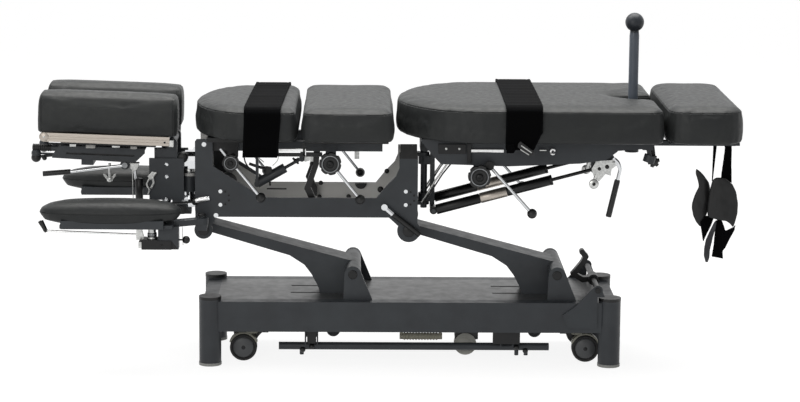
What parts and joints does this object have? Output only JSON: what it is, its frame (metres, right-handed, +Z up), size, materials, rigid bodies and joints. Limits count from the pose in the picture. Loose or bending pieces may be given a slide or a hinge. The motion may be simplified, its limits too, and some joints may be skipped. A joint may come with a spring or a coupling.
{
  "type": "chiropractic table",
  "caption": "Flat chiropractic treatment table on a scissorless two-arm lift base, with split face pads, armrests, drop sections, a bending leg section and a tiller.",
  "frame": {"origin": "on the floor, at the middle of the whole length and width", "axes": "+X from the head end to the foot end, +Y across the table away from the side that the picture shows, +Z up"},
  "size_m": [2.0212, 0.686, 1.001],
  "materials": {
    "powder_coat": "satin powder coat",
    "deck_coat": "satin powder coat",
    "leatherette": "grained leatherette",
    "black_plastic": "moulded",
    "bumper_rubber": "matt",
    "foot_plastic": "moulded",
    "chrome": "plated",
    "black_steel": "satin",
    "rail_aluminium": "brushed anodised",
    "webbing": "woven",
    "tyre": "matt",
    "tiller_paint": "satin"
  },
  "bodies": {
    "base": {"base_rails": "powder_coat", "base_deck": "deck_coat", "corner_posts": "powder_coat", "post_caps": "black_plastic", "levelling_feet": "foot_plastic", "base_brackets": "powder_coat", "lower_pivot_pins": "black_steel", "control_box": "black_plastic"},
    "left_arm": {"left_arm": "powder_coat"},
    "right_arm": {"right_arm": "powder_coat"},
    "tie_bar": {"tie_bar": "powder_coat"},
    "actuator_body": {"actuator_body": "black_steel"},
    "actuator_rod": {"actuator_rod": "chrome"},
    "foot_bar": {"foot_bar": "powder_coat"},
    "pedal": {"caster_pedal": "black_steel"},
    "rocker_left": {"rocker_left": "powder_coat"},
    "rocker_right": {"rocker_right": "powder_coat"},
    "wheel_front_left": {"wheel_front_left": "tyre"},
    "wheel_back_left": {"wheel_back_left": "tyre"},
    "wheel_front_right": {"wheel_front_right": "tyre"},
    "wheel_back_right": {"wheel_back_right": "tyre"},
    "chassis": {"chassis_plate_front": "powder_coat", "chassis_plate_back": "powder_coat", "chassis_cross_tubes": "powder_coat", "upright_bumpers": "bumper_rubber", "chassis_fasteners": "chrome", "head_columns": "chrome", "section_carrier": "powder_coat"},
    "head_block": {"head_block": "powder_coat"},
    "head_frame": {"head_channel": "powder_coat"},
    "head_slide": {"head_rails": "rail_aluminium", "head_pads": "leatherette"},
    "head_lever": {"head_lever": "chrome"},
    "armrest_front": {"armrest_arm_front": "powder_coat", "armrest_pad_front": "leatherette"},
    "armrest_back": {"armrest_arm_back": "powder_coat", "armrest_pad_back": "leatherette"},
    "thoracic": {"thoracic_frame": "powder_coat", "thoracic_cushion": "leatherette", "thoracic_strap": "webbing"},
    "thoracic_knobs": {"thoracic_knobs": "black_plastic"},
    "thoracic_lever": {"thoracic_lever": "chrome"},
    "pelvic": {"pelvic_frame": "powder_coat", "pelvic_cushion": "leatherette"},
    "pelvic_knobs": {"pelvic_knobs": "black_plastic"},
    "pelvic_lever": {"pelvic_lever": "chrome"},
    "yaw": {"yaw_bracket": "powder_coat"},
    "gas_cylinders": {"gas_cylinders": "black_steel"},
    "gas_rods": {"gas_rods": "black_steel"},
    "leg": {"leg_frame": "powder_coat", "leg_cushion": "leatherette", "leg_strap": "webbing"},
    "leg_knobs": {"leg_knobs": "black_plastic"},
    "leg_lever": {"leg_lever": "chrome"},
    "release_handle": {"release_handle": "chrome"},
    "tiller": {"tiller": "tiller_paint"},
    "foot": {"foot_rails": "powder_coat", "foot_cushion": "leatherette", "ankle_straps": "webbing"},
    "swing_handle": {"swing_handle": "black_steel"}
  },
  "joints": [
    {"name": "lift", "type": "hinge", "parent": "base", "child": "left_arm", "pos_m": [-0.0935, 0, 0.26], "axis": [0, 1, 0], "range_deg": [-8, 22]},
    {"name": "right_arm_turn", "type": "hinge", "parent": "base", "child": "right_arm", "pos_m": [0.4915, 0, 0.26], "axis": [0, 1, 0], "range_deg": [-8, 22]},
    {"name": "chassis_level", "type": "hinge", "parent": "left_arm", "child": "chassis", "pos_m": [-0.5195, 0, 0.387], "axis": [0, 1, 0], "range_deg": [-22, 8]},
    {"name": "tie_bar_level", "type": "hinge", "parent": "left_arm", "child": "tie_bar", "pos_m": [-0.1495, 0, 0.077], "axis": [0, 1, 0], "range_deg": [-22, 8]},
    {"name": "actuator_swing", "type": "hinge", "parent": "base", "child": "actuator_body", "pos_m": [0.3155, 0, 0.128], "axis": [0, 1, 0], "range_deg": [-3, 6]},
    {"name": "actuator_stroke", "type": "slide", "parent": "actuator_body", "child": "actuator_rod", "axis": [-0.994, 0, -0.109], "range_m": [-0.03, 0.07]},
    {"name": "foot_bar_press", "type": "hinge", "parent": "base", "child": "foot_bar", "pos_m": [0.0755, -0.12, 0.082], "axis": [1, 0, 0], "range_deg": [-8, 8]},
    {"name": "pedal_press", "type": "hinge", "parent": "base", "child": "pedal", "pos_m": [0.6055, 0, 0.226], "axis": [0, 1, 0], "range_deg": [-20, 0]},
    {"name": "rocker_left_turn", "type": "hinge", "parent": "base", "child": "rocker_left", "pos_m": [-0.3595, 0, 0.088], "axis": [0, 1, 0], "range_deg": [-13, 0]},
    {"name": "rocker_right_turn", "type": "hinge", "parent": "base", "child": "rocker_right", "pos_m": [0.5305, 0, 0.088], "axis": [0, 1, 0], "range_deg": [0, 13]},
    {"name": "wheel_front_left_spin", "type": "hinge", "parent": "rocker_left", "child": "wheel_front_left", "pos_m": [-0.4075, -0.107, 0.0402], "axis": [0, 1, 0], "continuous": true},
    {"name": "wheel_back_left_spin", "type": "hinge", "parent": "rocker_left", "child": "wheel_back_left", "pos_m": [-0.4075, 0.107, 0.0402], "axis": [0, 1, 0], "continuous": true},
    {"name": "wheel_front_right_spin", "type": "hinge", "parent": "rocker_right", "child": "wheel_front_right", "pos_m": [0.5785, -0.107, 0.0402], "axis": [0, 1, 0], "continuous": true},
    {"name": "wheel_back_right_spin", "type": "hinge", "parent": "rocker_right", "child": "wheel_back_right", "pos_m": [0.5785, 0.107, 0.0402], "axis": [0, 1, 0], "continuous": true},
    {"name": "head_lift", "type": "slide", "parent": "chassis", "child": "head_block", "axis": [0, 0, 1], "range_m": [-0.01, 0.03]},
    {"name": "head_tilt", "type": "hinge", "parent": "head_block", "child": "head_frame", "pos_m": [-0.6105, 0, 0.63], "axis": [0, 1, 0], "range_deg": [-15, 12]},
    {"name": "head_extend", "type": "slide", "parent": "head_frame", "child": "head_slide", "axis": [-0.9995, 0, 0.0332], "range_m": [0, 0.06]},
    {"name": "head_lever_turn", "type": "hinge", "parent": "head_frame", "child": "head_lever", "pos_m": [-0.74362, -0.107, 0.56838], "axis": [0, 1, 0], "range_deg": [-15, 0]},
    {"name": "armrest_front_swing", "type": "hinge", "parent": "chassis", "child": "armrest_front", "pos_m": [-0.5215, -0.196, 0.417], "axis": [0, 0, 1], "range_deg": [0, 60]},
    {"name": "armrest_back_swing", "type": "hinge", "parent": "chassis", "child": "armrest_back", "pos_m": [-0.5215, 0.196, 0.417], "axis": [0, 0, 1], "range_deg": [-60, 0]},
    {"name": "thoracic_drop", "type": "slide", "parent": "chassis", "child": "thoracic", "axis": [0, 0, 1], "range_m": [0, 0.018]},
    {"name": "thoracic_knobs_turn", "type": "hinge", "parent": "chassis", "child": "thoracic_knobs", "pos_m": [-0.4355, 0, 0.6], "axis": [0, 1, 0], "continuous": true},
    {"name": "thoracic_lever_turn", "type": "hinge", "parent": "chassis", "child": "thoracic_lever", "pos_m": [-0.4355, 0, 0.6], "axis": [0, 1, 0], "range_deg": [0, 25]},
    {"name": "pelvic_drop", "type": "slide", "parent": "chassis", "child": "pelvic", "axis": [0, 0, 1], "range_m": [0, 0.018]},
    {"name": "pelvic_knobs_turn", "type": "hinge", "parent": "chassis", "child": "pelvic_knobs", "pos_m": [-0.1575, 0, 0.599], "axis": [0, 1, 0], "continuous": true},
    {"name": "pelvic_lever_turn", "type": "hinge", "parent": "chassis", "child": "pelvic_lever", "pos_m": [-0.1575, 0, 0.599], "axis": [0, 1, 0], "range_deg": [0, 25]},
    {"name": "leg_yaw", "type": "hinge", "parent": "chassis", "child": "yaw", "pos_m": [0.1105, 0, 0.52], "axis": [0, 0, 1], "range_deg": [-12, 12]},
    {"name": "leg_flexion", "type": "hinge", "parent": "yaw", "child": "leg", "pos_m": [0.1125, 0, 0.618], "axis": [0, 1, 0], "range_deg": [0, 15]},
    {"name": "gas_cylinders_swing", "type": "hinge", "parent": "yaw", "child": "gas_cylinders", "pos_m": [0.1365, 0, 0.441], "axis": [0, 1, 0], "range_deg": [-1, 17]},
    {"name": "gas_rods_stroke", "type": "slide", "parent": "gas_cylinders", "child": "gas_rods", "axis": [0.9662, 0, 0.2578], "range_m": [-0.055, 0.002]},
    {"name": "leg_knobs_turn", "type": "hinge", "parent": "leg", "child": "leg_knobs", "pos_m": [0.2605, 0, 0.564], "axis": [0, 1, 0], "continuous": true},
    {"name": "leg_lever_turn", "type": "hinge", "parent": "leg", "child": "leg_lever", "pos_m": [0.2885, 0, 0.592], "axis": [0, 1, 0], "range_deg": [0, 25]},
    {"name": "release_handle_turn", "type": "hinge", "parent": "leg", "child": "release_handle", "pos_m": [0.6495, -0.12, 0.596], "axis": [0, 1, 0], "range_deg": [0, 20]},
    {"name": "tiller_lift", "type": "slide", "parent": "leg", "child": "tiller", "axis": [0, 0, 1], "range_m": [0, 0.04]},
    {"name": "foot_extend", "type": "slide", "parent": "leg", "child": "foot", "axis": [1, 0, 0], "range_m": [0, 0.08]},
    {"name": "swing_handle_turn", "type": "hinge", "parent": "chassis", "child": "swing_handle", "pos_m": [-0.0045, -0.15, 0.459], "axis": [0, 1, 0], "range_deg": [0, 30]}
  ],
  "couplings": [
    {"joint": "right_arm_turn", "follows": "lift", "ratio": 1},
    {"joint": "chassis_level", "follows": "lift", "ratio": -1},
    {"joint": "tie_bar_level", "follows": "lift", "ratio": -1},
    {"joint": "actuator_swing", "follows": "lift", "ratio": 0.188},
    {"joint": "actuator_stroke", "follows": "lift", "m_per_rad": 0.166},
    {"joint": "rocker_left_turn", "follows": "pedal_press", "ratio": 0.6},
    {"joint": "rocker_right_turn", "follows": "pedal_press", "ratio": -0.6},
    {"joint": "thoracic_lever_turn", "follows": "thoracic_drop", "rad_per_m": 24},
    {"joint": "pelvic_lever_turn", "follows": "pelvic_drop", "rad_per_m": 24},
    {"joint": "gas_cylinders_swing", "follows": "leg_flexion", "ratio": 0.992},
    {"joint": "gas_rods_stroke", "follows": "leg_flexion", "m_per_rad": -0.178}
  ]
}
